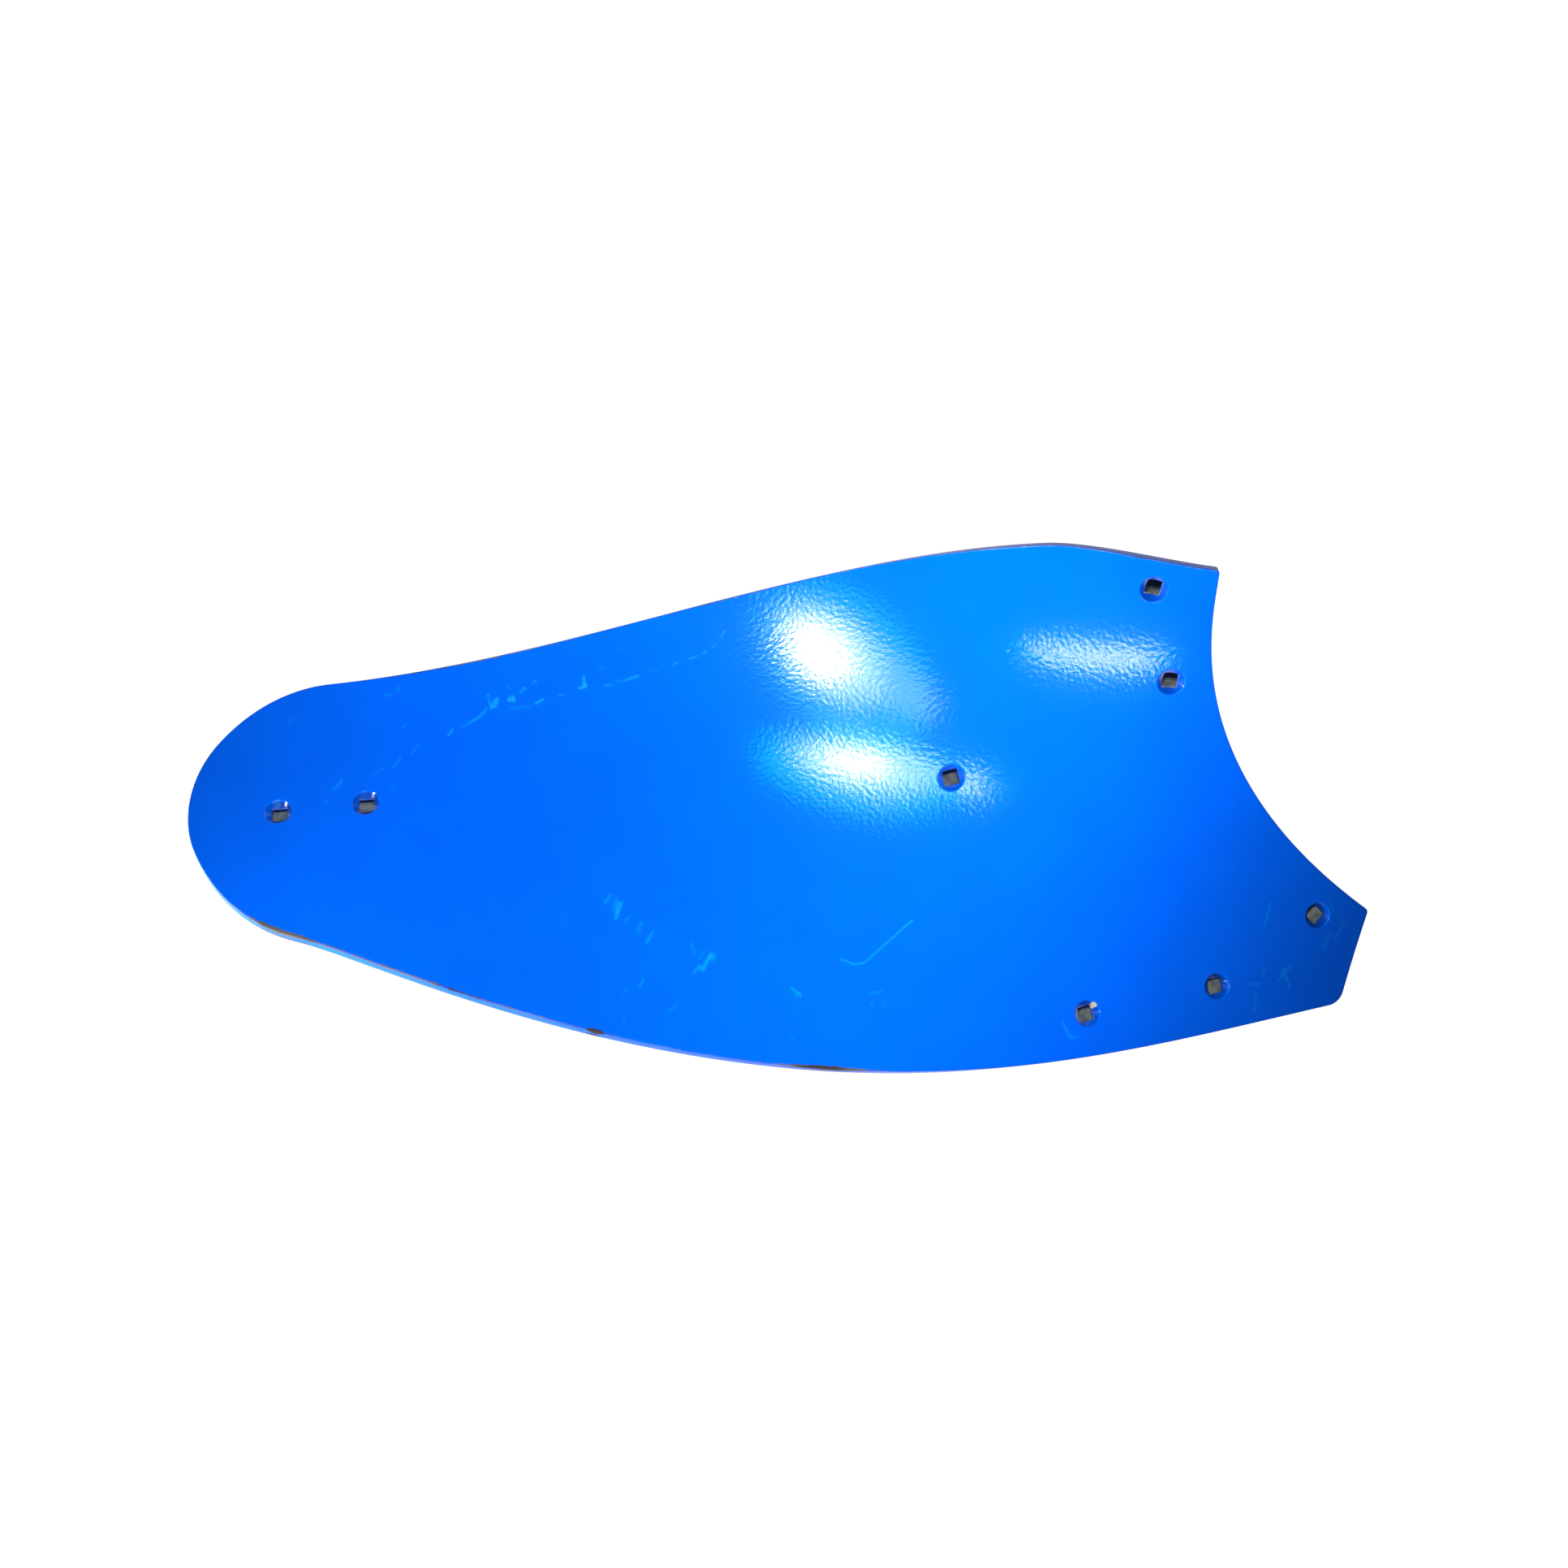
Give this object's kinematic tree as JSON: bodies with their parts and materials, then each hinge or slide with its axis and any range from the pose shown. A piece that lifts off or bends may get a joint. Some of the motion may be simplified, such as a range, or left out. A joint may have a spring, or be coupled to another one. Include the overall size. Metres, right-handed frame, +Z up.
{
  "type": "plough mouldboard",
  "caption": "Long curved and twisted steel mouldboard with a rounded tail, a hollow shin seam and countersunk square bolt holes, painted blue.",
  "frame": {"origin": "on the floor, under the middle of the plate's bounding box, with the plate lying on its back", "axes": "+X along the plate from the rounded tail to the breast edge, +Y across it to the share edge, +Z up, the way the hollow working face looks"},
  "size_m": [1.176, 0.4992, 0.186],
  "materials": {
    "mouldboard": "gloss blue paint with scratches and bare worn edges"
  },
  "bodies": {
    "root": {"mouldboard": "mouldboard"}
  },
  "joints": []
}
